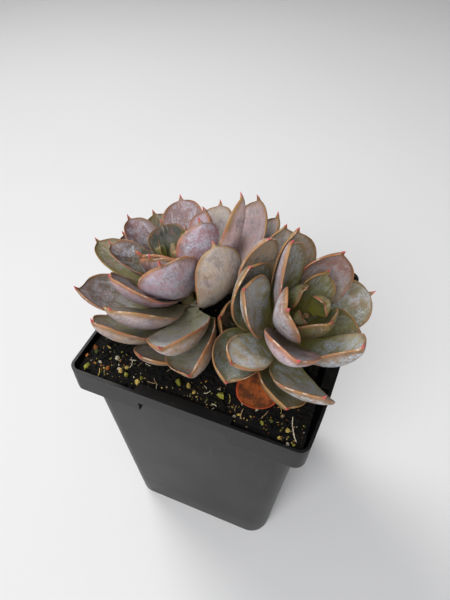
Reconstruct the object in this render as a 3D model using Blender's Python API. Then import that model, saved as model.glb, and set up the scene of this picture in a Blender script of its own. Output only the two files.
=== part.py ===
"""Two-headed rosette succulent in a deep square nursery pot.

The origin is the centre of the pot's base. The pot's sides run along X and Y and +Z is up.
Head a is the left one and leans left and back; head b is the right one and leans right.
"""

import math

import bmesh
import bpy
from mathutils import Matrix, Vector
from mathutils.bvhtree import BVHTree

MM = 0.001

# Pot: overall sizes, then the wall, the collar under the rim and the ledge inside each side.
POT_WIDTH = 70.0 * MM
POT_HEIGHT = 95.2 * MM
BASE_WIDTH = 57.0 * MM
BODY_TOP_WIDTH = 64.4 * MM
WALL = 0.9 * MM
COLLAR_DEPTH = 9.6 * MM
COLLAR_DRAFT = 0.1 * MM
SHOULDER_RISE = 1.0 * MM
RIM_RADIUS = 3.0 * MM
BODY_TOP_RADIUS = 5.7 * MM
BASE_RADIUS = 7.5 * MM
BASE_EDGE = 0.8 * MM
LEDGE_LENGTH = 28.0 * MM
LEDGE_SKIRT = 5.2 * MM
SIDE_BOW = 2.0 * MM
DRAIN_RADIUS = 3.0 * MM
DRAIN_OFFSET = 16.0 * MM

# Soil and the clearance that neighbouring solids keep.
SOIL_BELOW_RIM = 1.5 * MM
CLEARANCE = 0.3 * MM

# Stems: where each one leaves the soil and where its growing point is, across and above the soil.
STEM_FOOT = {"a": (-10.5 * MM, -3.0 * MM), "b": (14.5 * MM, -2.0 * MM)}
STEM_LEAN = {"a": (-9.0 * MM, 7.5 * MM), "b": (10.0 * MM, -4.0 * MM)}
STEM_HEIGHT = {"a": 21.0 * MM, "b": 19.0 * MM}
STEM_FOOT_RADIUS = 2.4 * MM
STEM_TOP_RADIUS = 1.3 * MM

# Leaves: what all of them share.
LEAF_THICKNESS = 2.7 * MM
LEAF_OFFSET = 3.4 * MM
SPINE_LENGTH = 2.6 * MM
SPINE_RADIUS = 0.55 * MM
SPINE_LIFT = 25.0
WIDEST_AT = 0.60
FOOT_SHARE = 0.25

# One row for each leaf: turn round the head, height up the stem in mm, rise at the foot, rise at
# the tip, length and width in mm, twist, cupping and sideways sweep. Angles are in degrees. Most
# of these values were fitted by a separate program and then rounded; few were chosen by hand.
LEAVES = {
    "a": [
        (272, 0.5, -23, 36, 29, 14, -20, 0.05, 0),
        (250, 2, -7, 54, 36, 15.5, -20, 0.3, 15),
        (312, 2, -18, 11, 36, 15.5, 20, 0.7, -35),
        (36, 2.5, 15, 55, 39, 15.5, 5, 0.3, 5),
        (100, 3.5, 25, 40, 30, 15.5, 0, 0.35, 5),
        (303, 4, -13, 31, 39, 15.5, 5, 0.5, -30),
        (120, 5.5, 35, 60, 35, 15.5, -5, 0.2, 30),
        (264, 5.5, -2, 49, 33, 18, -10, 0.25, 5),
        (344, 5.5, 0, 105, 30, 16, 5, 0.05, -30),
        (208, 6.5, 5, 45, 32, 14, -40, 0.5, 30),
        (38, 7.5, 5, 80, 38, 19.5, 10, 0.25, 5),
        (172, 8, 21, 48, 35, 13, -15, 0.35, 5),
        (256, 8, 15, 60, 27, 20, -15, 0.15, -10),
        (210, 9, 55, 40, 26, 9, -25, 0.65, -40),
        (4, 9.5, 30, 70, 35, 12, 10, 0.35, -5),
        (70, 9.5, 30, 60, 30, 17.5, 0, 0.25, 5),
        (160, 9.5, 39, 42, 28, 11.5, -10, 0.75, 5),
        (298, 9.5, 17, 60, 27, 17.5, 20, 0.3, -15),
        (102, 11.5, 39, 62, 30, 14.5, 0, 0.3, 10),
        (280, 11.5, 25, 75, 20, 15, -5, 0.4, -10),
        (160, 12, 46, 58, 27, 10.5, -15, 0.4, 0),
        (48, 12.5, 45, 85, 22, 14, 5, 0.3, 5),
        (346, 12.5, 30, 95, 23, 15, -10, 0.35, -5),
        (254, 13.5, 65, 40, 16, 17.5, -5, 0.2, -5),
        (136, 14.5, 85, 55, 17, 12, -10, 0.1, -5),
        (330, 17.5, 65, 90, 8, 6, 0, 0.35, 0),
        (188, 19, 80, 85, 7, 3, -10, 0.3, 10),
        (40, 20, 70, 90, 9, 6, 0, 0.35, 0),
    ],
    "b": [
        (106, 0.5, -20, 45, 30, 14, -5, 0.3, 5),
        (206, 1, 19, 47, 22, 14.5, -10, 0.15, 0),
        (124, 2, 30, 55, 32, 14, -5, 0.25, 10),
        (40, 2.5, 25, 20, 28, 11.5, 5, 0.25, 25),
        (284, 3, 25, 45, 27, 15.5, -5, 0.25, 0),
        (80, 3.5, -10, 40, 32, 8.5, 0, 0.35, 0),
        (168, 4, 30, 85, 36, 14, -5, 0.1, -15),
        (228, 4, 20, 40, 32, 13.5, 10, 0.45, 45),
        (48, 5.5, 30, 25, 29, 15.5, 10, 0.15, 5),
        (124, 5.5, 40, 55, 30, 15, 10, 0.4, 5),
        (192, 6, 33, 74, 32, 17, -15, 0.2, -15),
        (294, 6.5, 20, 80, 32.5, 15.5, -5, 0, -5),
        (8, 7, 30, 85, 24, 16, 10, 0.4, 0),
        (244, 7.5, 32, 36, 30, 11.5, 20, 0.2, -10),
        (86, 8, 40, 75, 28, 15.5, 10, 0.35, 15),
        (204, 9.5, 40, 55, 28, 15.5, -10, 0.3, -5),
        (324, 10, 40, 100, 30, 15.5, 5, 0.4, -5),
        (92, 10.5, 65, 60, 20, 10, 5, 0.45, 10),
        (158, 11.5, 60, 60, 29, 13, 10, 0.3, 0),
        (258, 12.5, 42, 66, 31, 14.5, 15, 0.4, 5),
        (328, 14, 85, 85, 16, 15, 0, 0.35, -5),
        (226, 14.5, 58, 64, 29, 13.5, -10, 0.35, 5),
        (162, 18.5, 60, 95, 12, 8, 5, 0.2, 5),
        (64, 19.5, 70, 135, 10, 6.5, 0, 0.3, -5),
        (236, 19.5, 75, 95, 8, 4.5, 0, 0.35, 0),
    ],
}

# The dry leaf that lies on the soil in front of head b, in the same terms as the others. Its foot
# is placed from the right and front sides of the pot's body, so that it stays inside the pot.
DRY_LEAF = (283, 0, 0, 4, 18.0, 12.0, 0, 0.1, 0)
DRY_LEAF_FROM_RIGHT, DRY_LEAF_FROM_FRONT = 17.0 * MM, 20.4 * MM
DRY_LEAF_THICKNESS = 0.6 * MM

# Where the rings of a leaf lie along it, from foot to tip, and how many points go round each.
LEAF_RINGS = (0.0, 0.12, 0.28, 0.45, 0.60, 0.74, 0.85, 0.92, 1.0)
LEAF_SIDES = 10
MIDRIB_STEPS = 40

SOIL_TOP = POT_HEIGHT - SOIL_BELOW_RIM
COLLAR_FOOT = POT_HEIGHT - COLLAR_DEPTH


def clear_scene():
    for item in list(bpy.data.objects):
        bpy.data.objects.remove(item, do_unlink=True)


def material(name, colour, roughness):
    made = bpy.data.materials.new(name)
    made.use_nodes = True
    shader = made.node_tree.nodes["Principled BSDF"]
    shader.inputs["Base Color"].default_value = (*colour, 1.0)
    shader.inputs["Roughness"].default_value = roughness
    shader.inputs["Metallic"].default_value = 0.0
    return made


def add_object(name, mesh, finish, smooth_angle=35.0):
    mesh.materials.clear()
    mesh.materials.append(finish)
    mesh.shade_smooth()
    mesh.set_sharp_from_angle(angle=math.radians(smooth_angle))
    made = bpy.data.objects.new(name, mesh)
    bpy.context.scene.collection.objects.link(made)
    return made


def mesh_of_loops(name, loops):
    """Bridges loops of equally many points and closes the first and the last with a face."""
    shape = bmesh.new()
    rings = [[shape.verts.new(point) for point in loop] for loop in loops]
    count = len(rings[0])
    for low, high in zip(rings, rings[1:]):
        for i in range(count):
            j = (i + 1) % count
            shape.faces.new((low[i], low[j], high[j], high[i]))
    shape.faces.new(list(reversed(rings[0])))
    shape.faces.new(rings[-1])
    bmesh.ops.recalc_face_normals(shape, faces=shape.faces)
    mesh = bpy.data.meshes.new(name)
    shape.to_mesh(mesh)
    shape.free()
    return mesh


def square_loop(half, radius, z, side_points=5, corner_points=5):
    """A rounded square, counter-clockwise from the corner at +X +Y."""
    points = []
    for corner in range(4):
        start = corner * math.pi / 2
        centre = Matrix.Rotation(start, 2) @ Vector((half - radius, half - radius))
        for i in range(corner_points):
            angle = start + math.pi / 2 * i / (corner_points - 1)
            points.append((centre.x + radius * math.cos(angle), centre.y + radius * math.sin(angle)))
        turn = Matrix.Rotation(start + math.pi / 2, 2)
        for i in range(1, side_points + 1):
            across = (half - radius) * (1 - 2 * i / (side_points + 1))
            point = turn @ Vector((half, -across))
            points.append((point.x, point.y))
    return [(x, y, z) for x, y in points]


def box_mesh(name, low, high):
    shape = bmesh.new()
    bmesh.ops.create_cube(shape, size=1.0)
    for vert in shape.verts:
        vert.co = [low[k] + (vert.co[k] + 0.5) * (high[k] - low[k]) for k in range(3)]
    mesh = bpy.data.meshes.new(name)
    shape.to_mesh(mesh)
    shape.free()
    return mesh


def body_half(z):
    """Half the outer width of the tapered body at height z."""
    return (BASE_WIDTH + (BODY_TOP_WIDTH - BASE_WIDTH) * z / COLLAR_FOOT) / 2


def bow_right_side(mesh):
    """The right wall stands out a little at mid-side, more towards the rim."""
    for vert in mesh.vertices:
        if vert.co.x > 0:
            along = min(1.0, abs(vert.co.y) / (POT_WIDTH / 2))
            reach = vert.co.x / (POT_WIDTH / 2)
            vert.co.x += SIDE_BOW * (1 - along * along) * reach * (vert.co.z / POT_HEIGHT) ** 3


def with_booleans(item, steps):
    """Runs Boolean steps on an object and keeps the result as its mesh."""
    for operation, tool in steps:
        change = item.modifiers.new(operation.lower(), "BOOLEAN")
        change.operation = operation
        change.solver = "EXACT"
        change.object = tool
    graph = bpy.context.evaluated_depsgraph_get()
    mesh = bpy.data.meshes.new_from_object(item.evaluated_get(graph))
    item.modifiers.clear()
    item.data = mesh
    for _, tool in steps:
        bpy.data.objects.remove(tool, do_unlink=True)
    return mesh


def helper(name, mesh):
    made = bpy.data.objects.new(name, mesh)
    bpy.context.scene.collection.objects.link(made)
    return made


def round_sides(name, inner, outer, half_length, low_z, high_z):
    """One box at each side of the pot, from inner to outer distance from the middle."""
    boxes = []
    for turn in range(4):
        mesh = box_mesh(name, (-half_length, -outer, low_z), (half_length, -inner, high_z))
        mesh.transform(Matrix.Rotation(turn * math.pi / 2, 4, "Z"))
        boxes.append(helper(name, mesh))
    return boxes


def ledge_hollows(outline, half_length):
    """One cutter at each side of the pot: an outline of (distance from the middle, height), drawn out sideways."""
    cutters = []
    for turn in range(4):
        ends = [[(side * half_length, -reach, z) for reach, z in outline] for side in (-1, 1)]
        mesh = mesh_of_loops("hollow", ends)
        mesh.transform(Matrix.Rotation(turn * math.pi / 2, 4, "Z"))
        cutters.append(helper("hollow", mesh))
    return cutters


def make_pot(finish):
    rim_half = POT_WIDTH / 2
    collar_half = rim_half - COLLAR_DRAFT
    inner_foot = COLLAR_FOOT + WALL
    body_top = body_half(COLLAR_FOOT)
    loops = [
        square_loop(body_half(0) - BASE_EDGE, BASE_RADIUS - BASE_EDGE, 0),
        square_loop(body_half(BASE_EDGE), BASE_RADIUS, BASE_EDGE),
        square_loop(body_top, BODY_TOP_RADIUS, COLLAR_FOOT),
        square_loop(collar_half, RIM_RADIUS, COLLAR_FOOT + SHOULDER_RISE * 0.2),
        square_loop(rim_half, RIM_RADIUS, POT_HEIGHT),
        square_loop(rim_half - WALL, RIM_RADIUS - WALL, POT_HEIGHT),
        square_loop(collar_half - WALL, RIM_RADIUS - WALL, inner_foot + SHOULDER_RISE),
        square_loop(body_top - WALL, BODY_TOP_RADIUS - WALL, inner_foot),
        square_loop(body_half(WALL) - WALL, BASE_RADIUS - WALL, WALL),
    ]
    pot = add_object("pot", mesh_of_loops("pot", loops), finish)
    inner = body_half(POT_HEIGHT) - WALL
    outer = body_half(POT_HEIGHT)
    skirt_inner = rim_half - WALL
    half = LEDGE_LENGTH / 2
    below = COLLAR_FOOT - WALL
    steps = [("UNION", block) for block in round_sides(
        "ledge", inner, rim_half - WALL / 2, half, COLLAR_FOOT + WALL / 3, POT_HEIGHT)]
    notch_top = POT_HEIGHT - LEDGE_SKIRT
    outline = [(outer, below), (rim_half + WALL, below), (rim_half + WALL, notch_top),
               (skirt_inner, notch_top), (skirt_inner, POT_HEIGHT - WALL), (outer, POT_HEIGHT - WALL)]
    steps += [("DIFFERENCE", cutter) for cutter in ledge_hollows(outline, half - WALL)]
    for x in (-DRAIN_OFFSET, DRAIN_OFFSET):
        for y in (-DRAIN_OFFSET, DRAIN_OFFSET):
            shape = bmesh.new()
            bmesh.ops.create_cone(
                shape, cap_ends=True, segments=12, radius1=DRAIN_RADIUS, radius2=DRAIN_RADIUS,
                depth=4 * WALL, matrix=Matrix.Translation((x, y, 0)))
            mesh = bpy.data.meshes.new("drain")
            shape.to_mesh(mesh)
            shape.free()
            steps.append(("DIFFERENCE", helper("drain", mesh)))
    bow_right_side(with_booleans(pot, steps))
    return pot


def make_soil(finish):
    gap = WALL + CLEARANCE
    rim_half = POT_WIDTH / 2
    floor = WALL + CLEARANCE
    shoulder = COLLAR_FOOT + gap
    collar_half = rim_half - COLLAR_DRAFT - gap
    loops = [
        square_loop(body_half(floor) - gap, BASE_RADIUS - gap, floor),
        square_loop(body_half(COLLAR_FOOT) - gap, BODY_TOP_RADIUS - gap, shoulder),
        square_loop(collar_half, RIM_RADIUS - gap, shoulder + SHOULDER_RISE),
        square_loop(rim_half - gap, RIM_RADIUS - gap, SOIL_TOP),
    ]
    soil = add_object("soil", mesh_of_loops("soil", loops), finish)
    inner = body_half(POT_HEIGHT) - gap
    blocks = round_sides(
        "ledge_room", inner, rim_half, LEDGE_LENGTH / 2 + CLEARANCE, COLLAR_FOOT - WALL, POT_HEIGHT)
    bow_right_side(with_booleans(soil, [("DIFFERENCE", block) for block in blocks]))
    return soil


def stem_line(head):
    """Where the stem leaves the soil, and its growing point."""
    foot = Vector((*STEM_FOOT[head], SOIL_TOP + CLEARANCE))
    return foot, foot + Vector((*STEM_LEAN[head], STEM_HEIGHT[head]))


def head_turn(head):
    """Turns +Z to the direction in which the stem grows."""
    foot, top = stem_line(head)
    return Vector((0, 0, 1)).rotation_difference(top - foot).to_matrix()


def make_stem(head, finish):
    foot, top = stem_line(head)
    turn = head_turn(head)
    sides = 10
    loops = []
    for share in (0.0, 0.5, 0.92, 1.0):
        radius = STEM_FOOT_RADIUS + (STEM_TOP_RADIUS - STEM_FOOT_RADIUS) * share
        radius *= 0.6 if share == 1.0 else 1.0
        centre = foot.lerp(top, share)
        loop = []
        for i in range(sides):
            angle = 2 * math.pi * i / sides
            spoke = turn @ Vector((math.cos(angle), math.sin(angle), 0)) * radius
            if share == 0.0:
                spoke.z = 0
            loop.append(centre + spoke)
        loops.append(loop)
    return add_object("stem_" + head, mesh_of_loops("stem_" + head, loops), finish)


def leaf_width(t, length):
    """Half width as a share of the leaf's greatest half width."""
    if t < WIDEST_AT:
        return FOOT_SHARE + (1 - FOOT_SHARE) * math.sin(t / WIDEST_AT * math.pi / 2) ** 1.3
    end = 1 - 0.8 * SPINE_LENGTH / length
    s = min(1.0, (t - WIDEST_AT) / (end - WIDEST_AT))
    return math.sqrt(max(0.0, 1 - s ** 2.5))


def leaf_depth(t):
    """Thickness as a share of the greatest thickness."""
    swell = 0.45 + 0.55 * min(1.0, t / 0.4)
    return swell * max(0.05, 1 - max(0.0, (t - 0.5) / 0.52) ** 2.2)


def leaf_start(head, row):
    """Where the foot of a leaf is: beside the stem, at its own height and turn."""
    foot, top = stem_line(head)
    spoke = Vector((math.cos(math.radians(row[0])), math.sin(math.radians(row[0])), 0))
    return foot.lerp(top, row[1] * MM / (top - foot).length) + head_turn(head) @ spoke * LEAF_OFFSET


def leaf_loops(start, turn, row, thickness):
    """The rings of one leaf, in the pot's frame, from its foot to the point of its spine."""
    turn_deg, _, rise, tip_rise, length, width, twist, cup, sweep = row
    length *= MM
    width *= MM
    place = Vector((0, 0, 0))
    loops = []
    ring = 0
    for step in range(MIDRIB_STEPS + 1):
        share = step / MIDRIB_STEPS
        lift = SPINE_LIFT * max(0.0, (share - 0.88) / 0.12)
        pitch = math.radians(rise + (tip_rise - rise) * share + lift)
        heading = math.radians(turn_deg + sweep * share)
        along = Vector((math.cos(pitch) * math.cos(heading), math.cos(pitch) * math.sin(heading),
                        math.sin(pitch)))
        up = Vector((-math.sin(pitch) * math.cos(heading), -math.sin(pitch) * math.sin(heading),
                     math.cos(pitch)))
        if step:
            place = place + (along + before) * (length / MIDRIB_STEPS / 2)
        before = along
        while ring < len(LEAF_RINGS) and LEAF_RINGS[ring] <= share + 0.5 / MIDRIB_STEPS:
            t = LEAF_RINGS[ring]
            centre = place + along * (t - share) * length
            loops.append([start + turn @ (centre + offset)
                          for offset in leaf_section(t, length, width, thickness, twist, cup, along, up)])
            ring += 1
    return loops


def leaf_section(t, length, width, thickness, twist, cup, along, up):
    """Offsets of one ring from the midrib: a cupped top and a full, rounded underside."""
    half = max(width / 2 * leaf_width(t, length),
               SPINE_RADIUS * max(0.0, min(1.0, (1 - t) * length / SPINE_LENGTH)) ** 0.8 + 0.04 * MM)
    depth = min(max(thickness * leaf_depth(t), 0.25 * MM), half * 1.6)
    roll = math.radians(twist) * min(1.0, 2 * t)
    across = up.cross(along)
    side = across * math.cos(roll) + up * math.sin(roll)
    face = up * math.cos(roll) - across * math.sin(roll)
    hollow = cup * math.sin(min(1.0, 1.6 * t + 0.15) * math.pi / 2)
    offsets = []
    for i in range(LEAF_SIDES):
        angle = 2 * math.pi * i / LEAF_SIDES
        c, s = math.cos(angle), math.sin(angle)
        lift = hollow * half * abs(c) ** 1.7
        lift += 0.12 * depth * s if s > 0 else 0.88 * depth * s * (1 - 0.15 * abs(c))
        offsets.append(side * (half * c) + face * lift)
    return offsets


def tree_of(mesh, swell=0.0):
    """A search tree of a mesh, with every vertex moved out by swell."""
    points = [vert.co + vert.normal * swell for vert in mesh.vertices]
    faces = [tuple(face.vertices) for face in mesh.polygons]
    return BVHTree.FromPolygons(points, faces)


def settle(head, row, placed):
    """Shifts a leaf up the stem, tips it and turns it, as little as it takes to clear the others."""
    tries = []
    for climb in range(-4, 13):
        for lift in range(-8, 21):
            for swing in range(-3, 4):
                effort = abs(climb) + abs(lift) * 0.5 + abs(swing) * 0.7
                tries.append((effort, climb * 0.5, lift * 2, swing * 2))
    for _, climb, lift, swing in sorted(tries):
        turn, height, rise, tip_rise, *rest = row
        moved = (turn + swing, height + climb, rise + lift, tip_rise + lift / 2, *rest)
        if moved[1] < 0.5:
            continue
        loops = leaf_loops(leaf_start(head, moved), head_turn(head), moved, LEAF_THICKNESS)
        mesh = mesh_of_loops("leaf", loops)
        near = tree_of(mesh, CLEARANCE)
        if not any(near.overlap(other) for other in placed):
            return moved, mesh
        bpy.data.meshes.remove(mesh)
    raise RuntimeError(f"leaf {row} of head {head} finds no place")


def make_dry_leaf(finish):
    body_top = body_half(COLLAR_FOOT)
    foot = (body_top - DRY_LEAF_FROM_RIGHT, DRY_LEAF_FROM_FRONT - body_top)
    start = Vector((*foot, SOIL_TOP + CLEARANCE + DRY_LEAF_THICKNESS))
    loops = leaf_loops(start, Matrix.Identity(3), DRY_LEAF, DRY_LEAF_THICKNESS)
    return add_object("dead_leaf", mesh_of_loops("dead_leaf", loops), finish)


def main():
    clear_scene()
    plastic = material("black_plastic", (0.045, 0.045, 0.047), 0.45)
    peat = material("peat", (0.022, 0.017, 0.013), 0.95)
    bark = material("stem_green", (0.24, 0.25, 0.15), 0.6)
    skin = {"a": material("mauve_leaf", (0.36, 0.27, 0.29), 0.5),
            "b": material("olive_leaf", (0.27, 0.28, 0.22), 0.5)}
    solids = [make_pot(plastic), make_soil(peat)]
    solids += [make_stem(head, bark) for head in ("a", "b")]
    solids.append(make_dry_leaf(material("dry_leaf", (0.34, 0.11, 0.03), 0.4)))
    placed = [tree_of(solid.data) for solid in solids]
    for head, rows in LEAVES.items():
        for number, row in enumerate(rows, start=1):
            moved, mesh = settle(head, row, placed)
            if moved != row:
                print("moved", head, number, row[:4], "->", moved[:4])
            add_object(f"leaf_{head}_{number:02d}", mesh, skin[head])
            placed.append(tree_of(mesh))


main()
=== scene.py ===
# %% [markdown]
# # A two-headed rosette succulent in a square nursery pot
#
# This lesson dresses a plain CAD model of a potted succulent. The CAD model gives every leaf its
# place, and this script gives each one its living surface: thin coloured margins, a soft waxy
# bloom, scuffs and a sharp pink spine. The pot gets its moulded plastic and the peat its crumbs,
# grit and fibres. Everything is in metres, with +Z up and the origin under the middle of the pot.

# %% Load the frame
import math
import random

import bmesh
import bpy
from mathutils import Matrix, Vector, noise


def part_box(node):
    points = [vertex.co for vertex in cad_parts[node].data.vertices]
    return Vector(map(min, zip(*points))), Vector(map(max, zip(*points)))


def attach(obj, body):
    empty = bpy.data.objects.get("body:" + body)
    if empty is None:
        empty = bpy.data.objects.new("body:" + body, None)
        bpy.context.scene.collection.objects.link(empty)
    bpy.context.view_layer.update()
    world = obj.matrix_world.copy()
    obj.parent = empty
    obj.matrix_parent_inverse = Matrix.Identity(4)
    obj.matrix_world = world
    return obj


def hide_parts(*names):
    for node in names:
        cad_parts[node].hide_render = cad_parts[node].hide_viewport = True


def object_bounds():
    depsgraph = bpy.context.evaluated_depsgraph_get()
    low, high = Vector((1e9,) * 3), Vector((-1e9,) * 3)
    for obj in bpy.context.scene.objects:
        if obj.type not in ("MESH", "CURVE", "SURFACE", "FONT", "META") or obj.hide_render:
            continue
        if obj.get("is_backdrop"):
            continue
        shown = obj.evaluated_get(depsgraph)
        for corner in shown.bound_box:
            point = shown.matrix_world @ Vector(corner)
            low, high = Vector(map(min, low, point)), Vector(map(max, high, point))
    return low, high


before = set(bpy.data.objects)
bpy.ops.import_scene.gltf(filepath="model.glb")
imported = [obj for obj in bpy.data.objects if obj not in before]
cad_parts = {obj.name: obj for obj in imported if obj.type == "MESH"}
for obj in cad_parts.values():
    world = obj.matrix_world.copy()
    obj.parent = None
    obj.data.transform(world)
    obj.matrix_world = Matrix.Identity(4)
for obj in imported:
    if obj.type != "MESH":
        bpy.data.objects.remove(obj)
cad_box = [list(corner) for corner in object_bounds()]
MM = 0.001
print("CAD nodes:", len(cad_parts), "box:", cad_box)

# %% [markdown]
# ## The camera
#
# The plant is looked at from close by and from well above, so the pot tapers strongly towards its
# foot. A long lens from further off would lose that. The camera is given by where it stands, its
# heading, how far it dips and how far it rolls. These values were fitted by a separate program
# and then rounded.

# %% Camera
CAMERA_PLACE = Vector((32.5, -90.5, 208.3)) * MM
HEADING, DIP, ROLL = math.radians(-20.2), math.radians(47.65), math.radians(1.5)
LENS_MM, SENSOR_MM = 28.52, 36.0

lens = bpy.data.cameras.new("camera")
lens.lens = LENS_MM
lens.sensor_width = SENSOR_MM
lens.clip_start = 0.005
camera = bpy.data.objects.new("camera", lens)
sight = Vector((math.sin(HEADING) * math.cos(DIP), math.cos(HEADING) * math.cos(DIP), -math.sin(DIP)))
turned = sight.to_track_quat("-Z", "Y").to_matrix() @ Matrix.Rotation(ROLL, 3, "Z")
camera.matrix_world = Matrix.Translation(CAMERA_PLACE) @ turned.to_4x4()
bpy.context.scene.collection.objects.link(camera)
bpy.context.scene.camera = camera
print("camera at", [round(c, 3) for c in CAMERA_PLACE])

# %% [markdown]
# ## Writing materials as expressions
#
# A material is a small program that runs at every point of a surface. Wiring its nodes by hand
# takes many lines, so two small classes do it. A Wire is the output of a node: adding or
# multiplying wires adds the Math nodes that do the sum. A Paint is one material, and its `add`
# makes any node from its type, its settings and the values of its sockets.

# %% Wire and Paint
class Wire:
    """The output of a shader node. Sums on wires become Math nodes."""

    def __init__(self, paint, socket):
        self.paint, self.socket = paint, socket

    def math(self, operation, first, second):
        return self.paint.add("ShaderNodeMath", {"operation": operation}, {0: first, 1: second})

    def __add__(self, other):
        return self.math("ADD", self, other)

    __radd__ = __add__

    def __mul__(self, other):
        return self.math("MULTIPLY", self, other)

    __rmul__ = __mul__

    def __sub__(self, other):
        return self.math("SUBTRACT", self, other)

    def __rsub__(self, other):
        return self.math("SUBTRACT", other, self)

    def __abs__(self):
        return self.math("ABSOLUTE", self, 0.0)


def rgb(red, green, blue):
    """A colour as it is read off a screen, 0 to 255, turned into the light values that shaders use."""
    share = [channel / 255 for channel in (red, green, blue)]
    linear = [c / 12.92 if c <= 0.04045 else ((c + 0.055) / 1.055) ** 2.4 for c in share]
    return (*linear, 1.0)


class Paint:
    """One procedural material."""

    def __init__(self, name, **uniform):
        self.material = bpy.data.materials.new(name)
        self.material.use_nodes = True
        self.tree = self.material.node_tree
        self.shader = self.tree.nodes["Principled BSDF"]
        for socket, value in uniform.items():
            self.shader.inputs[socket.replace("_", " ")].default_value = value

    def add(self, kind, settings=None, values=None, output=0):
        node = self.tree.nodes.new(kind)
        for key, value in (settings or {}).items():
            setattr(node, key, value)
        for key, value in (values or {}).items():
            self.feed(node.inputs[key], value)
        return Wire(self, node.outputs[output])

    def feed(self, socket, value):
        if isinstance(value, Wire):
            self.tree.links.new(value.socket, socket)
        else:
            socket.default_value = value

    def set(self, socket, value):
        self.feed(self.shader.inputs[socket], value)

    def attribute(self, name, output="Fac"):
        return self.add("ShaderNodeAttribute", {"attribute_name": name}, output=output)

    def place(self):
        """Where the point is on the object at rest, in millimetres."""
        where = self.add("ShaderNodeTexCoord", output="Object")
        return self.stretch(where, (1000, 1000, 1000))

    def stretch(self, vector, scale):
        return self.add("ShaderNodeVectorMath", {"operation": "MULTIPLY"}, {0: vector, 1: scale})

    def noise(self, vector, scale, detail=3.0, rough=0.55):
        values = {"Vector": vector, "Scale": scale, "Detail": detail, "Roughness": rough}
        return self.add("ShaderNodeTexNoise", None, values)

    def cells(self, vector, scale):
        return self.add("ShaderNodeTexVoronoi", None, {"Vector": vector, "Scale": scale}, "Distance")

    def step(self, wire, low, high):
        """Rises smoothly from 0 to 1 while wire goes from low to high."""
        return self.add("ShaderNodeMapRange", {"interpolation_type": "SMOOTHSTEP"},
                        {"Value": wire, "From Min": low, "From Max": high})

    def mix(self, below, above, mask):
        """Lays the colour above over the colour below where the mask is 1."""
        return self.add("ShaderNodeMix", {"data_type": "RGBA", "clamp_factor": True},
                        {0: mask, 6: below, 7: above}, output=2)

    def bump(self, height, distance, strength=1.0):
        values = {"Height": height, "Distance": distance, "Strength": strength}
        self.set("Normal", self.add("ShaderNodeBump", None, values))


# %% [markdown]
# ## Floor and light
#
# The pot stands on a white table. A wide window lamp at the left and a little behind gives the
# soft shadow at the right of the pot, and a second lamp in front and above lights the faces that
# look this way. Both beams are narrowed, so that the table gets darker away from the pot. A pale
# sky fills the shadows in. It could be one even colour, but the flat rim of the pot mirrors what
# is behind it, so the sky is dim there and brighter on the side of the camera.

# %% Floor and light
FLOOR_SIZE = 6.0
bpy.context.scene.view_settings.view_transform = "Standard"

floor_mesh = bpy.data.meshes.new("floor")
half_floor = FLOOR_SIZE / 2
floor_mesh.from_pydata(
    [(-half_floor, -half_floor, 0), (half_floor, -half_floor, 0),
     (half_floor, half_floor, 0), (-half_floor, half_floor, 0)], [], [(0, 1, 2, 3)])
floor = bpy.data.objects.new("floor", floor_mesh)
bpy.context.scene.collection.objects.link(floor)
floor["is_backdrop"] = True

table_paint = Paint("pale_table", Roughness=0.6, Specular_IOR_Level=0.25)
haze = table_paint.noise(table_paint.place(), 0.004, 2)
table_paint.set("Base Color", table_paint.mix(rgb(228, 227, 226), rgb(221, 220, 219), haze))
floor.data.materials.append(table_paint.material)

LAMP_SPREAD = 100


def soft_lamp(name, place, aim, size, watts, colour):
    """A round area lamp at a place in metres, turned towards its aim."""
    lamp = bpy.data.lights.new(name, "AREA")
    lamp.shape = "DISK"
    lamp.size, lamp.energy, lamp.color = size, watts, colour
    lamp.spread = math.radians(LAMP_SPREAD)
    holder = bpy.data.objects.new(name, lamp)
    direction = Vector(aim) - Vector(place)
    holder.matrix_world = Matrix.Translation(place) @ direction.to_track_quat("-Z", "Y").to_matrix().to_4x4()
    bpy.context.scene.collection.objects.link(holder)


soft_lamp("window", (-0.68, 0.36, 0.85), (0.05, 0.05, 0.08), 0.6, 2.15, (1.0, 0.985, 0.965))
soft_lamp("room", (-0.1, -0.75, 0.85), (0.03, 0.1, 0.08), 0.7, 3.1, (0.975, 0.985, 1.0))

SKY_DIM, SKY_BRIGHT = 0.15, 0.44
SKY_FADE_FROM, SKY_FADE_TO = -0.7, 0.9
BRIGHT_SIDE = Vector((-0.3, -0.85, 0.42)).normalized()

sky = bpy.data.worlds.new("sky")
sky.use_nodes = True
nodes, links = sky.node_tree.nodes, sky.node_tree.links
backdrop = nodes["Background"]
backdrop.inputs["Color"].default_value = (0.93, 0.95, 1.0, 1.0)
direction = nodes.new("ShaderNodeTexCoord")
facing = nodes.new("ShaderNodeVectorMath")
facing.operation = "DOT_PRODUCT"
facing.inputs[1].default_value = BRIGHT_SIDE
fade = nodes.new("ShaderNodeMapRange")
fade.interpolation_type = "SMOOTHSTEP"
for label, value in (("From Min", SKY_FADE_FROM), ("From Max", SKY_FADE_TO),
                     ("To Min", SKY_DIM), ("To Max", SKY_BRIGHT)):
    fade.inputs[label].default_value = value
links.new(direction.outputs["Generated"], facing.inputs[0])
links.new(facing.outputs["Value"], fade.inputs["Value"])
links.new(fade.outputs["Result"], backdrop.inputs["Strength"])
bpy.context.scene.world = sky
print("floor", FLOOR_SIZE, "m wide, two lamps and a pale sky")

# %% [markdown]
# ## Sizes that the pieces share
#
# These are the sizes of the CAD model, said again here in millimetres, because the finer pieces
# have to lie where the plain ones do.

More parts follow.
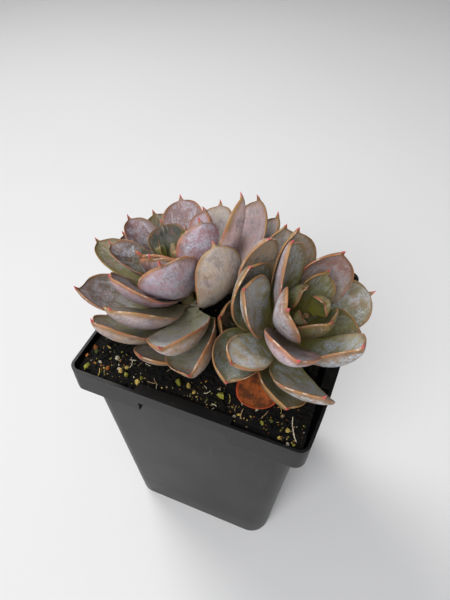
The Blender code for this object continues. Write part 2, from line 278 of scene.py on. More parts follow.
# %% Shared sizes
POT_WIDTH, POT_HEIGHT = 70.0, 95.2
BASE_WIDTH, BODY_TOP_WIDTH = 57.0, 64.4
WALL, CLEARANCE = 0.9, 0.3
COLLAR_DEPTH, COLLAR_DRAFT, SHOULDER_RISE = 9.6, 0.1, 1.0
RIM_RADIUS, BODY_TOP_RADIUS, BASE_RADIUS, BASE_EDGE = 3.0, 5.7, 7.5, 0.8
LEDGE_LENGTH, LEDGE_SKIRT, SIDE_BOW = 28.0, 5.2, 2.0
DRAIN_RADIUS, DRAIN_OFFSET = 3.0, 16.0
SOIL_BELOW_RIM = 1.5
SOIL_TOP = POT_HEIGHT - SOIL_BELOW_RIM
COLLAR_FOOT = POT_HEIGHT - COLLAR_DEPTH

STEM_FOOT = {"a": (-10.5, -3.0), "b": (14.5, -2.0)}
STEM_LEAN = {"a": (-9.0, 7.5), "b": (10.0, -4.0)}
STEM_HEIGHT = {"a": 21.0, "b": 19.0}
STEM_FOOT_RADIUS, STEM_TOP_RADIUS = 2.4, 1.3
low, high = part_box("pot")
print("pot node", [round(c / MM, 1) for c in (*low, *high)], "mm")


def add_piece(name, mesh, paint, slot, *nodes):
    """Puts a finished mesh in the scene as a piece that stands for some CAD nodes."""
    mesh.materials.clear()
    mesh.materials.append(paint.material)
    piece = bpy.data.objects.new(name, mesh)
    bpy.context.scene.collection.objects.link(piece)
    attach(piece, "root")
    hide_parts(*nodes)
    return piece


def mesh_of_loops(name, loops):
    """Bridges loops of equally many points, given in millimetres, and closes both ends."""
    shape = bmesh.new()
    rings = [[shape.verts.new(Vector(point) * MM) for point in loop] for loop in loops]
    count = len(rings[0])
    for lower, upper in zip(rings, rings[1:]):
        for i in range(count):
            j = (i + 1) % count
            shape.faces.new((lower[i], lower[j], upper[j], upper[i]))
    shape.faces.new(list(reversed(rings[0])))
    shape.faces.new(rings[-1])
    bmesh.ops.recalc_face_normals(shape, faces=shape.faces)
    mesh = bpy.data.meshes.new(name)
    shape.to_mesh(mesh)
    shape.free()
    return mesh


# %% [markdown]
# ## The pot
#
# The pot is one injection moulding: a tapered body, a collar that stands out round its top, and a
# ledge inside each side with an open notch under it, by which pots lock into a carrying tray. It
# could be drawn in profile and swept, but the ledges break the profile, so a shell is bridged
# from rounded squares and the ledges are cut with Booleans. A small bevel then rounds every edge,
# as a mould does, and that is what catches the light along the rim.

# %% Shell of the pot
CORNER_POINTS, SIDE_POINTS = 14, 7
EDGE_ROUNDING = 0.22
ROUNDED_FROM, SHARP_FROM = 40, 30


def square_loop(half, radius, z):
    """A rounded square, counter-clockwise from the corner at +X +Y."""
    points = []
    for corner in range(4):
        start = corner * math.pi / 2
        centre = Matrix.Rotation(start, 2) @ Vector((half - radius, half - radius))
        for i in range(CORNER_POINTS):
            angle = start + math.pi / 2 * i / (CORNER_POINTS - 1)
            points.append((centre.x + radius * math.cos(angle), centre.y + radius * math.sin(angle), z))
        turn = Matrix.Rotation(start + math.pi / 2, 2)
        for i in range(1, SIDE_POINTS + 1):
            across = (half - radius) * (1 - 2 * i / (SIDE_POINTS + 1))
            point = turn @ Vector((half, -across))
            points.append((point.x, point.y, z))
    return points


def body_half(z):
    """Half the outer width of the tapered body at height z."""
    return (BASE_WIDTH + (BODY_TOP_WIDTH - BASE_WIDTH) * z / COLLAR_FOOT) / 2


def body_radius(z):
    return BASE_RADIUS + (BODY_TOP_RADIUS - BASE_RADIUS) * z / COLLAR_FOOT


rim_half = POT_WIDTH / 2
collar_half = rim_half - COLLAR_DRAFT
inner_foot = COLLAR_FOOT + WALL
body_top = body_half(COLLAR_FOOT)
levels = [COLLAR_FOOT * i / 6 for i in range(1, 6)]
shell_loops = [
    square_loop(body_half(0) - BASE_EDGE, BASE_RADIUS - BASE_EDGE, 0),
    square_loop(body_half(BASE_EDGE) - 0.25 * BASE_EDGE, BASE_RADIUS - 0.2, 0.3 * BASE_EDGE),
    square_loop(body_half(BASE_EDGE), BASE_RADIUS, BASE_EDGE),
    *[square_loop(body_half(z), body_radius(z), z) for z in levels],
    square_loop(body_top, BODY_TOP_RADIUS, COLLAR_FOOT),
    square_loop(collar_half, RIM_RADIUS, COLLAR_FOOT + SHOULDER_RISE * 0.2),
    square_loop(rim_half, RIM_RADIUS, POT_HEIGHT),
    square_loop(rim_half - WALL, RIM_RADIUS - WALL, POT_HEIGHT),
    square_loop(collar_half - WALL, RIM_RADIUS - WALL, inner_foot + SHOULDER_RISE),
    square_loop(body_top - WALL, BODY_TOP_RADIUS - WALL, inner_foot),
    *[square_loop(body_half(z) - WALL, body_radius(z) - WALL, z) for z in reversed(levels)],
    square_loop(body_half(WALL) - WALL, BASE_RADIUS - WALL, WALL),
]
pot_mesh = mesh_of_loops("pot", shell_loops)
print("shell:", len(pot_mesh.polygons), "faces")

# %% Ledges, notches and drain holes
def helper(mesh):
    made = bpy.data.objects.new("cutter", mesh)
    bpy.context.scene.collection.objects.link(made)
    return made


def drawn_round(outline, half_length):
    """A solid at each side of the pot, drawn sideways from an outline of (distance, height)."""
    ends = [[(end * half_length, -reach, z) for reach, z in outline] for end in (-1, 1)]
    solids = []
    for turn in range(4):
        mesh = mesh_of_loops("side", ends)
        mesh.transform(Matrix.Rotation(turn * math.pi / 2, 4, "Z"))
        solids.append(helper(mesh))
    return solids


def box_outline(inner, outer, bottom, top):
    return [(inner, bottom), (outer, bottom), (outer, top), (inner, top)]


def with_booleans(mesh, steps):
    """The mesh after a run of Boolean steps, each of them (operation, tool)."""
    item = helper(mesh)
    for operation, tool in steps:
        change = item.modifiers.new(operation.lower(), "BOOLEAN")
        change.operation, change.solver, change.object = operation, "EXACT", tool
    made = bpy.data.meshes.new_from_object(item.evaluated_get(bpy.context.evaluated_depsgraph_get()))
    for spent in [item] + [tool for _, tool in steps]:
        bpy.data.objects.remove(spent, do_unlink=True)
    return made


def bow_right_side(mesh):
    """The right wall stands out a little at mid-side, more towards the rim."""
    for vert in mesh.vertices:
        x, y, z = vert.co / MM
        if x > 0:
            along = min(1.0, abs(y) / rim_half)
            vert.co.x += SIDE_BOW * MM * (1 - along * along) * (x / rim_half) * (z / POT_HEIGHT) ** 3


ledge_inner = body_half(POT_HEIGHT) - WALL
ledge_outer = body_half(POT_HEIGHT)
skirt_inner = rim_half - WALL
ledge_half = LEDGE_LENGTH / 2
below = COLLAR_FOOT - WALL
notch_top = POT_HEIGHT - LEDGE_SKIRT
beyond = rim_half + WALL
steps = [("UNION", block) for block in drawn_round(
    box_outline(ledge_inner, rim_half - WALL / 2, COLLAR_FOOT + WALL / 3, POT_HEIGHT), ledge_half)]
hollow = [(ledge_outer, below), (beyond, below), (beyond, notch_top), (skirt_inner, notch_top),
          (skirt_inner, POT_HEIGHT - WALL), (ledge_outer, POT_HEIGHT - WALL)]
steps += [("DIFFERENCE", cutter) for cutter in drawn_round(hollow, ledge_half - WALL)]
for x in (-DRAIN_OFFSET, DRAIN_OFFSET):
    for y in (-DRAIN_OFFSET, DRAIN_OFFSET):
        shape = bmesh.new()
        bmesh.ops.create_cone(shape, cap_ends=True, segments=32, radius1=DRAIN_RADIUS * MM,
                              radius2=DRAIN_RADIUS * MM, depth=4 * WALL * MM,
                              matrix=Matrix.Translation((x * MM, y * MM, 0)))
        drain = bpy.data.meshes.new("drain")
        shape.to_mesh(drain)
        shape.free()
        steps.append(("DIFFERENCE", helper(drain)))
pot_mesh = with_booleans(pot_mesh, steps)
bow_right_side(pot_mesh)
print("pot:", len(pot_mesh.polygons), "faces after its ledges, notches and drain holes")

# %% [markdown]
# ## Black plastic
#
# Nursery pots are made of recycled polypropylene: nearly black, satin, with a faint grain from
# the mould, paler specks, a few rubs and a little dust. A single black would look like a hole in
# the picture, so the colour drifts slightly, and the roughness drifts with it.

# %% Black plastic
plastic = Paint("black_plastic", Specular_IOR_Level=0.3)
where = plastic.place()
cloud = plastic.noise(where, 0.045, 4)
grain = plastic.noise(where, 3.2, 3)
rub = plastic.noise(plastic.stretch(where, (0.5, 0.5, 0.06)), 1.0, 4)
colour = plastic.mix(rgb(8, 8, 8), rgb(15, 15, 15), cloud)
colour = plastic.mix(colour, rgb(44, 44, 43), plastic.step(rub, 0.58, 0.75) * 0.4)
dust = plastic.step(plastic.cells(where, 0.42), 0.10, 0.05)
dust = dust * plastic.step(plastic.noise(where, 0.3), 0.5, 0.62)
colour = plastic.mix(colour, rgb(140, 138, 132), dust * 0.22)
pits = plastic.step(plastic.cells(plastic.stretch(where, (1.0, 1.3, 0.8)), 0.11), 0.085, 0.05)
colour = plastic.mix(colour, rgb(12, 12, 12), pits * 0.6)
plastic.set("Base Color", colour)
plastic.set("Roughness", 0.3 + 0.14 * cloud + 0.08 * grain + 0.1 * dust)
plastic.bump(0.6 * grain + 0.5 * rub - 0.8 * pits, 0.00012, 0.5)
pot = add_piece("nursery_pot", pot_mesh, plastic, "pot_plastic", "pot")
rounding = pot.modifiers.new("mould_rounding", "BEVEL")
rounding.width, rounding.segments, rounding.limit_method = EDGE_ROUNDING * MM, 2, "ANGLE"
rounding.angle_limit = math.radians(ROUNDED_FROM)
pot_mesh.shade_smooth()
pot_mesh.set_sharp_from_angle(angle=math.radians(SHARP_FROM))
print("pot finished with edges rounded by", EDGE_ROUNDING, "mm")

# %% [markdown]
# ## Peat
#
# The compost is dark, damp peat: a lumpy surface of crumbs with grit and fibres in it. A flat
# face with a bump would show straight edges under the leaves, so the surface is a real height
# field, with loose crumbs lying on it. Its sides go down inside the wall and close at the floor,
# so that it is one body like the CAD soil.

# %% Peat surface
PEAT_STEP = 0.5
random.seed(11)
gap = WALL + CLEARANCE
soil_half = rim_half - gap
room_inner = ledge_inner - CLEARANCE
room_half = ledge_half + CLEARANCE


def peat_height(x, y):
    """Height of the peat at x and y, all in millimetres."""
    place = Vector((x, y, 3.0))
    swell = noise.noise(place * 0.09) * 0.45
    lumps = abs(noise.fractal(place * 0.42, 0.9, 2.1, 4)) * 0.55
    crumbs = noise.noise(place * 1.35) * 0.28
    edge = max(abs(x), abs(y)) / soil_half
    return SOIL_TOP + swell + lumps + crumbs - 0.35 - 0.5 * max(0.0, edge - 0.9) / 0.1


def in_peat(x, y):
    far, near = max(abs(x), abs(y)), min(abs(x), abs(y))
    if far > room_inner and near < room_half:
        return False
    over = Vector((max(0.0, abs(x) - soil_half + 2), max(0.0, abs(y) - soil_half + 2)))
    return over.length < 2.0


def peat_mesh():
    shape = bmesh.new()
    count = int(soil_half / PEAT_STEP)
    corners = {}
    for i in range(-count, count + 1):
        for j in range(-count, count + 1):
            x, y = i * PEAT_STEP, j * PEAT_STEP
            corners[i, j] = shape.verts.new(Vector((x, y, peat_height(x, y))) * MM)
    for (i, j), vert in corners.items():
        square = [corners.get(key) for key in ((i, j), (i + 1, j), (i + 1, j + 1), (i, j + 1))]
        if None not in square and in_peat((i + 0.5) * PEAT_STEP, (j + 0.5) * PEAT_STEP):
            shape.faces.new(square)
    bmesh.ops.delete(shape, geom=[v for v in shape.verts if not v.link_faces], context="VERTS")
    rim = [edge for edge in shape.edges if len(edge.link_faces) == 1]
    for z, half in ((COLLAR_FOOT + gap + SHOULDER_RISE, None),
                    (COLLAR_FOOT + gap - 0.5, body_half(COLLAR_FOOT) - gap - 0.3),
                    (WALL + CLEARANCE, body_half(0) - gap)):
        made = bmesh.ops.extrude_edge_only(shape, edges=rim)["geom"]
        rim = [item for item in made if isinstance(item, bmesh.types.BMEdge)]
        radius = body_radius(z) - gap
        for vert in {vert for edge in rim for vert in edge.verts}:
            x, y = vert.co.x / MM, vert.co.y / MM
            if half is not None:
                x, y = max(-half, min(half, x)), max(-half, min(half, y))
                core = half - radius
                over = Vector((max(0.0, abs(x) - core), max(0.0, abs(y) - core)))
                if over.length > radius:
                    over *= radius / over.length
                    x, y = math.copysign(core + over.x, x), math.copysign(core + over.y, y)
            vert.co = Vector((x, y, z)) * MM
    bmesh.ops.holes_fill(shape, edges=rim, sides=0)
    bmesh.ops.recalc_face_normals(shape, faces=shape.faces)
    return shape


peat = peat_mesh()
print("peat surface:", len(peat.faces), "faces")

# %% Crumbs on the peat
def add_lump(shape, centre, size, squash=0.75):
    """A small irregular stone or crumb: a ball of twelve points, each pushed in or out."""
    spin = Matrix.Rotation(random.uniform(0, math.tau), 3, "Z")
    spin = spin @ Matrix.Rotation(random.uniform(0, 3), 3, "X")
    stretch = Vector((random.uniform(0.75, 1.3), random.uniform(0.75, 1.2), squash)) * size / 2
    made = bmesh.ops.create_icosphere(shape, subdivisions=1, radius=1.0)["verts"]
    for vert in made:
        push = random.uniform(0.58, 1.2)
        spot = Vector([vert.co[k] * stretch[k] * push for k in range(3)])
        vert.co = (Vector(centre) + spin @ spot) * MM
    return made


CRUMBS = 1500
for _ in range(CRUMBS):
    x, y = random.uniform(-soil_half, soil_half), random.uniform(-soil_half, soil_half)
    if not in_peat(x * 1.03, y * 1.03):
        continue
    size = random.choice((0.5, 0.6, 0.7, 0.9, 1.2, 1.7)) * random.uniform(0.8, 1.2)
    add_lump(peat, (x, y, peat_height(x, y) + size * 0.12), size)
peat_data = bpy.data.meshes.new("peat")
peat.to_mesh(peat_data)
peat.free()
print("crumbs:", CRUMBS)

# %% Peat colour
peat_paint = Paint("damp_peat", Specular_IOR_Level=0.2)
where = peat_paint.place()
patch = peat_paint.noise(where, 0.22, 4)
fleck = peat_paint.noise(where, 2.4, 3)
colour = peat_paint.mix(rgb(7, 6, 5), rgb(20, 16, 12), peat_paint.step(patch, 0.42, 0.72))
colour = peat_paint.mix(colour, rgb(60, 45, 30), peat_paint.step(fleck, 0.66, 0.78) * 0.5)
moss = peat_paint.step(peat_paint.noise(where, 0.5, 2), 0.66, 0.8)
colour = peat_paint.mix(colour, rgb(44, 46, 20), moss * 0.4)
peat_paint.set("Base Color", colour)
peat_paint.set("Roughness", 0.72 + 0.25 * fleck)
peat_paint.bump(fleck, 0.0003, 0.7)
add_piece("peat_bed", peat_data, peat_paint, "peat", "soil")

# %% [markdown]
# ## Grit and fibres
#
# Coarse yellow and cream grains stand out against the black. They are bits of bark, perlite and
# old fertiliser, 1 to 2 mm across, thickest near the two front corners. The places of most of the
# larger ones were worked out by a separate program and then rounded. The rest of them, and the
# sizes and tints of them all, were chosen one by one, and the fine ones are strewn with a seeded
# draw. Each grain keeps its own tint as a colour on its points, so that one material serves them
# all.

# %% Grains
TINTS = {
    "straw": rgb(200, 172, 88), "lime": rgb(146, 144, 48), "amber": rgb(176, 104, 38),
    "cream": rgb(210, 200, 172), "buff": rgb(166, 138, 98), "moss": rgb(82, 90, 34),
}
# Across, along and size in millimetres, then the tint. All but nine of the places come from a
# separate program.
LARGE_GRAINS = [
    (-32, -25, 2.2, "amber"), (-31, -26, 1.8, "moss"), (-31, -31.5, 2.2, "lime"), (-24, -26, 1.5, "cream"),
    (-25, -30, 1.8, "amber"), (-22, -29, 1.3, "cream"), (-21, -29.5, 1.7, "straw"), (-20, -28, 1.7, "straw"),
    (-19, -30, 1.6, "lime"), (-15, -31, 1.8, "straw"), (-14.5, -29.5, 1.6, "lime"), (-4, -27, 2.2, "lime"),
    (-1, -27, 1.8, "straw"), (1, -28, 1.2, "straw"), (8.5, -26.5, 2.6, "lime"), (3, -32, 1.3, "lime"),
    (6.5, -31.5, 1.2, "straw"), (14, -31, 1.6, "cream"), (15, -30, 1.0, "straw"), (21.5, -30, 1.7, "lime"),
    (23.5, -28.5, 1.6, "moss"), (26, -26, 1.5, "buff"), (28.5, -29.5, 1.7, "straw"), (27, -32, 1.4, "straw"),
    (29.5, -33, 1.4, "cream"), (31, -32.5, 1.1, "lime"), (-33, -28, 1.4, "amber"), (-28, -29, 1.1, "cream"),
    (19, -26.5, 1.3, "cream"), (24, -22, 1.2, "straw"), (31, -16, 1.3, "amber"), (30, -12, 1.0, "buff"),
]
FINE_GRAINS = 420

grit = bmesh.new()
tint_layer = grit.verts.layers.float_color.new("tint")


def add_grain(x, y, size, tint, sink=0.15):
    shade = random.uniform(0.5, 0.95)
    colour = [channel * shade for channel in TINTS[tint][:3]] + [1.0]
    for vert in add_lump(grit, (x, y, peat_height(x, y) + size * (0.5 - sink)), size, 0.8):
        vert[tint_layer] = colour


for x, y, size, tint in LARGE_GRAINS:
    add_grain(x, y, size, tint)
for _ in range(FINE_GRAINS):
    corner = random.choice(((-25, -28), (26, -29), (5, -30), None))
    if corner:
        x, y = random.gauss(corner[0], 6), random.gauss(corner[1], 3.2)
    else:
        x, y = random.uniform(-soil_half, soil_half), random.uniform(-soil_half, soil_half)
    if in_peat(x * 1.04, y * 1.04):
        tint = random.choice(("straw", "lime", "moss", "moss", "buff", "cream", "amber"))
        add_grain(x, y, random.uniform(0.25, 0.75), tint, 0.3)
print("grains:", len(LARGE_GRAINS), "large and up to", FINE_GRAINS, "fine")

# %% Fibres
FIBRE_SIDES, FIBRE_STEPS, SMALL_FIBRES = 5, 12, 26


def add_fibre(points, radius, tint):
    """A thin root or straw: a five-sided tube along a run of points, in millimetres."""
    rings = []
    for i, point in enumerate(points):
        ahead = Vector(points[min(i + 1, len(points) - 1)]) - Vector(points[max(i - 1, 0)])
        frame_turn = ahead.to_track_quat("Z", "Y").to_matrix()
        thin = radius * (0.55 if i in (0, len(points) - 1) else 1.0)
        ring = []
        for k in range(FIBRE_SIDES):
            angle = k * math.tau / FIBRE_SIDES
            spoke = frame_turn @ Vector((thin * math.cos(angle), thin * math.sin(angle), 0))
            ring.append(grit.verts.new((Vector(point) + spoke) * MM))
        rings.append(ring)
    for lower, upper in zip(rings, rings[1:]):
        for k in range(FIBRE_SIDES):
            after = (k + 1) % FIBRE_SIDES
            grit.faces.new((lower[k], lower[after], upper[after], upper[k]))
    grit.faces.new(list(reversed(rings[0])))
    grit.faces.new(rings[-1])
    for ring in rings:
        for vert in ring:
            vert[tint_layer] = TINTS[tint]


def lay_fibre(x, y, heading, length, radius, tint, bend):
    """A fibre that lies on the peat and bends evenly as it goes."""
    points = []
    for _ in range(FIBRE_STEPS + 1):
        points.append((x, y, peat_height(x, y) + radius * 2.0 + 0.25))
        x += math.cos(heading) * length / FIBRE_STEPS
        y += math.sin(heading) * length / FIBRE_STEPS
        heading += bend / FIBRE_STEPS
    add_fibre(points, radius, tint)


# The start of this long fibre comes from the program that placed the grains.
lay_fibre(28.6, -25.2, math.radians(-80), 7.2, 0.16, "cream", math.radians(28))
lay_fibre(15.6, -27.6, math.radians(-100), 3.4, 0.13, "buff", 0.5)
for _ in range(SMALL_FIBRES):
    x, y = random.uniform(-28, 26), random.uniform(-31, -22)
    lay_fibre(x, y, random.uniform(0, math.tau), random.uniform(1.2, 3.2), random.uniform(0.06, 0.11),
              random.choice(("buff", "straw", "cream")), random.uniform(-1.2, 1.2))
bmesh.ops.recalc_face_normals(grit, faces=grit.faces)
grit_data = bpy.data.meshes.new("grit")
grit.to_mesh(grit_data)
grit.free()

grit_paint = Paint("grit_and_fibre", Specular_IOR_Level=0.4)
where = grit_paint.place()
pore = grit_paint.noise(where, 2.2, 4)
tinted = grit_paint.attribute("tint", "Color")
colour = grit_paint.mix(tinted, rgb(58, 38, 14), grit_paint.step(pore, 0.52, 0.72) * 0.75)
grit_paint.set("Base Color", colour)
grit_paint.set("Roughness", 0.45 + 0.4 * pore)
grit_paint.bump(pore, 0.0002, 0.8)
add_piece("grit_and_fibres", grit_data, grit_paint, "peat")
print("grit and fibres:", len(grit_data.polygons), "faces")

# %% [markdown]
# ## The stems
#
# Each head sits on a short thick stem. The leaves hide them, but they are there: tapered, green
# and a little lumpy, with the low ridges of old leaf scars.

# %% Stems
STEM_SIDES, STEM_RINGS, STEM_SHARP_FROM = 28, 26, 60


def stem_line(head):
    """Where the stem leaves the soil, and its growing point, in millimetres."""
    foot = Vector((*STEM_FOOT[head], SOIL_TOP + CLEARANCE))
    return foot, foot + Vector((*STEM_LEAN[head], STEM_HEIGHT[head]))


def head_turn(head):
    """Turns +Z to the direction in which the stem grows."""
    foot, top = stem_line(head)
    return Vector((0, 0, 1)).rotation_difference(top - foot).to_matrix()


def stem_mesh(head):
    foot, top = stem_line(head)
    turn = head_turn(head)
    loops = []
    for ring in range(STEM_RINGS + 1):
        share = ring / STEM_RINGS
        radius = STEM_FOOT_RADIUS + (STEM_TOP_RADIUS - STEM_FOOT_RADIUS) * share
        radius *= 1.0 if share < 0.92 else 1.0 - 0.4 * (share - 0.92) / 0.08
        scars = 0.12 * math.sin(share * 40) ** 2
        loop = []
        for i in range(STEM_SIDES):
            angle = math.tau * i / STEM_SIDES
            lumps = 0.12 * noise.noise(Vector((math.cos(angle), math.sin(angle), share * 6)) * 1.6)
            spoke = turn @ Vector((math.cos(angle), math.sin(angle), 0)) * (radius - scars + lumps)
            if ring == 0:
                spoke.z = 0
            loop.append(foot.lerp(top, share) + spoke)
        loops.append(loop)
    mesh = mesh_of_loops("stem", loops)
    mesh.shade_smooth()
    mesh.set_sharp_from_angle(angle=math.radians(STEM_SHARP_FROM))
    return mesh


stem_paint = Paint("stem_green", Roughness=0.6)
where = stem_paint.place()
mottle = stem_paint.noise(where, 0.7, 4)
browned = stem_paint.step(mottle, 0.4, 0.65)
stem_paint.set("Base Color", stem_paint.mix(rgb(118, 122, 78), rgb(140, 104, 74), browned))
stem_paint.bump(mottle, 0.0003, 0.6)
for head in ("a", "b"):
    add_piece("stalk_" + head, stem_mesh(head), stem_paint, "stem_green", "stem_" + head)
print("two stems of", STEM_HEIGHT, "mm")

# %% [markdown]
# ## The leaves: where each one sits
#
# The leaves climb round each stem in a spiral, the lowest lying out flat and the youngest
# standing round the growing point. Every real leaf grows its own way, so the table gives each a
# row: its turn round the head, how high it leaves the stem, how steeply it rises at foot and tip,
# its length and width, its twist, its cupping, and how far it sweeps sideways. Most of these
# numbers were fitted by a separate program and then rounded, and few were chosen by hand. The last
# word, chosen for each leaf, names its colouring.

# %% Leaf table
LEAVES = {
    "a": [
        (272, 0.5, -23, 36, 29, 14, -20, 0.05, 0, "clay"),
        (250, 2, -7, 54, 36, 15.5, -20, 0.3, 15, "clay"),
        (312, 2, -18, 11, 36, 15.5, 20, 0.7, -35, "clay"),
        (36, 2.5, 15, 55, 39, 15.5, 5, 0.3, 5, "stone"),
        (100, 3.5, 25, 40, 30, 15.5, 0, 0.35, 5, "olive"),
        (303, 4, -13, 31, 39, 15.5, 5, 0.5, -30, "chalk"),
        (120, 5.5, 35, 60, 35, 15.5, -5, 0.2, 30, "moss"),
        (264, 5.5, -2, 49, 33, 18, -10, 0.25, 5, "dune"),
        (344, 5.5, 0, 105, 30, 16, 5, 0.05, -30, "stone"),
        (208, 6.5, 5, 45, 32, 14, -40, 0.5, 30, "smoke"),
        (38, 7.5, 5, 80, 38, 19.5, 10, 0.25, 5, "mauve"),
        (172, 8, 21, 48, 35, 13, -15, 0.35, 5, "moss"),
        (256, 8, 15, 60, 27, 20, -15, 0.15, -10, "plum"),
        (210, 9, 55, 40, 26, 9, -25, 0.65, -40, "dusk"),
        (4, 9.5, 30, 70, 35, 12, 10, 0.35, -5, "mauve"),
        (70, 9.5, 30, 60, 30, 17.5, 0, 0.25, 5, "stone"),
        (160, 9.5, 39, 42, 28, 11.5, -10, 0.75, 5, "smoke"),
        (298, 9.5, 17, 60, 27, 17.5, 20, 0.3, -15, "lilac"),
        (102, 11.5, 39, 62, 30, 14.5, 0, 0.3, 10, "plum"),
        (280, 11.5, 25, 75, 20, 15, -5, 0.4, -10, "rust"),
        (160, 12, 46, 58, 27, 10.5, -15, 0.4, 0, "wine"),
        (48, 12.5, 45, 85, 22, 14, 5, 0.3, 5, "rose"),
        (346, 12.5, 30, 95, 23, 15, -10, 0.35, -5, "violet"),
        (254, 13.5, 65, 40, 16, 17.5, -5, 0.2, -5, "rust"),
        (136, 14.5, 85, 55, 17, 12, -10, 0.1, -5, "deep"),
        (330, 17.5, 65, 90, 8, 6, 0, 0.35, 0, "sprout"),
        (188, 19, 80, 85, 7, 3, -10, 0.3, 10, "sprout"),
        (40, 20, 70, 90, 9, 6, 0, 0.35, 0, "sprout"),
    ],
    "b": [
        (106, 0.5, -20, 45, 30, 14, -5, 0.3, 5, "olive"),
        (206, 1, 19, 47, 22, 14.5, -10, 0.15, 0, "deep"),
        (124, 2, 30, 55, 32, 14, -5, 0.25, 10, "stone"),
        (40, 2.5, 25, 20, 28, 11.5, 5, 0.25, 25, "moss"),
        (284, 3, 25, 45, 27, 15.5, -5, 0.25, 0, "olive"),
        (80, 3.5, -10, 40, 32, 8.5, 0, 0.35, 0, "olive"),
        (168, 4, 30, 85, 36, 14, -5, 0.1, -15, "tan"),
        (228, 4, 20, 40, 32, 13.5, 10, 0.45, 45, "shade"),
        (48, 5.5, 30, 25, 29, 15.5, 10, 0.15, 5, "heath"),
        (124, 5.5, 40, 55, 30, 15, 10, 0.4, 5, "khaki"),
        (192, 6, 33, 74, 32, 17, -15, 0.2, -15, "shade"),
        (294, 6.5, 20, 80, 32.5, 15.5, -5, 0, -5, "frost"),
        (8, 7, 30, 85, 24, 16, 10, 0.4, 0, "olive"),
        (244, 7.5, 32, 36, 30, 11.5, 20, 0.2, -10, "frost"),
        (86, 8, 40, 75, 28, 15.5, 10, 0.35, 15, "ember"),
        (204, 9.5, 40, 55, 28, 15.5, -10, 0.3, -5, "frost"),
        (324, 10, 40, 100, 30, 15.5, 5, 0.4, -5, "frost"),
        (92, 10.5, 65, 60, 20, 10, 5, 0.45, 10, "olive"),
        (158, 11.5, 60, 60, 29, 13, 10, 0.3, 0, "heath"),
        (258, 12.5, 42, 66, 31, 14.5, 15, 0.4, 5, "rose"),
        (328, 14, 85, 85, 16, 15, 0, 0.35, -5, "leek"),
        (226, 14.5, 58, 64, 29, 13.5, -10, 0.35, 5, "scarred"),
        (162, 18.5, 60, 95, 12, 8, 5, 0.2, 5, "leek"),
        (64, 19.5, 70, 135, 10, 6.5, 0, 0.3, -5, "sprout"),
        (236, 19.5, 75, 95, 8, 4.5, 0, 0.35, 0, "sprout"),
    ],
}
DRY_LEAF = (283, 0, 0, 4, 16.2, 12.0, 0, 0.1, 0, "dry")
DRY_LEAF_FOOT = (15.2, -11.8)
print("leaves:", {head: len(rows) for head, rows in LEAVES.items()})

# %% [markdown]
# ## The form of a leaf
#
# A leaf is a thick blade, widest beyond its middle, that ends in a short hard spine. It could be
# sculpted by hand, but fifty-three of them share one growth rule, so each is lofted from rings
# along its midrib. The upper face is gently hollow, the underside full, and the margin is a fine
# raised line that wanders a little. The dry leaf has lost its spine. Along with its shape each
# point keeps what the paint needs: how far along the leaf it is, how far in from the margin, how
# far from the spine's point, and on which face.

# %% Leaf outline and section
LEAF_THICKNESS, DRY_LEAF_THICKNESS, LEAF_OFFSET = 2.85, 0.6, 3.4
SPINE_LENGTH, SPINE_FREE, SPINE_LIFT, LIFT_FROM = 2.6, 0.8, 25.0, 0.88
TIP_LENGTH, TIP_HALF = 5.5, 2.4
WIDEST_AT, FOOT_SHARE = 0.60, 0.25
LEAF_RINGS, LEAF_SIDES, UPPER_BULGE = 56, 40, 0.12
MARGIN_RIDGE, MARGIN_WANDER, FACE_DENTS = 0.22, 0.028, 0.16


def leaf_width(t, spine_share):
    """Half width as a share of the greatest one. It closes where the free part of the spine begins."""
    if t < WIDEST_AT:
        return FOOT_SHARE + (1 - FOOT_SHARE) * math.sin(t / WIDEST_AT * math.pi / 2) ** 1.3
    end = 1 - SPINE_FREE * spine_share
    s = min(1.0, (t - WIDEST_AT) / (end - WIDEST_AT))
    return math.sqrt(max(0.0, 1 - s ** 2.5))


def leaf_depth(t):
    """Thickness as a share of the greatest thickness."""
    swell = 0.45 + 0.55 * min(1.0, t / 0.4)
    return swell * max(0.05, 1 - max(0.0, (t - 0.5) / 0.52) ** 2.2)


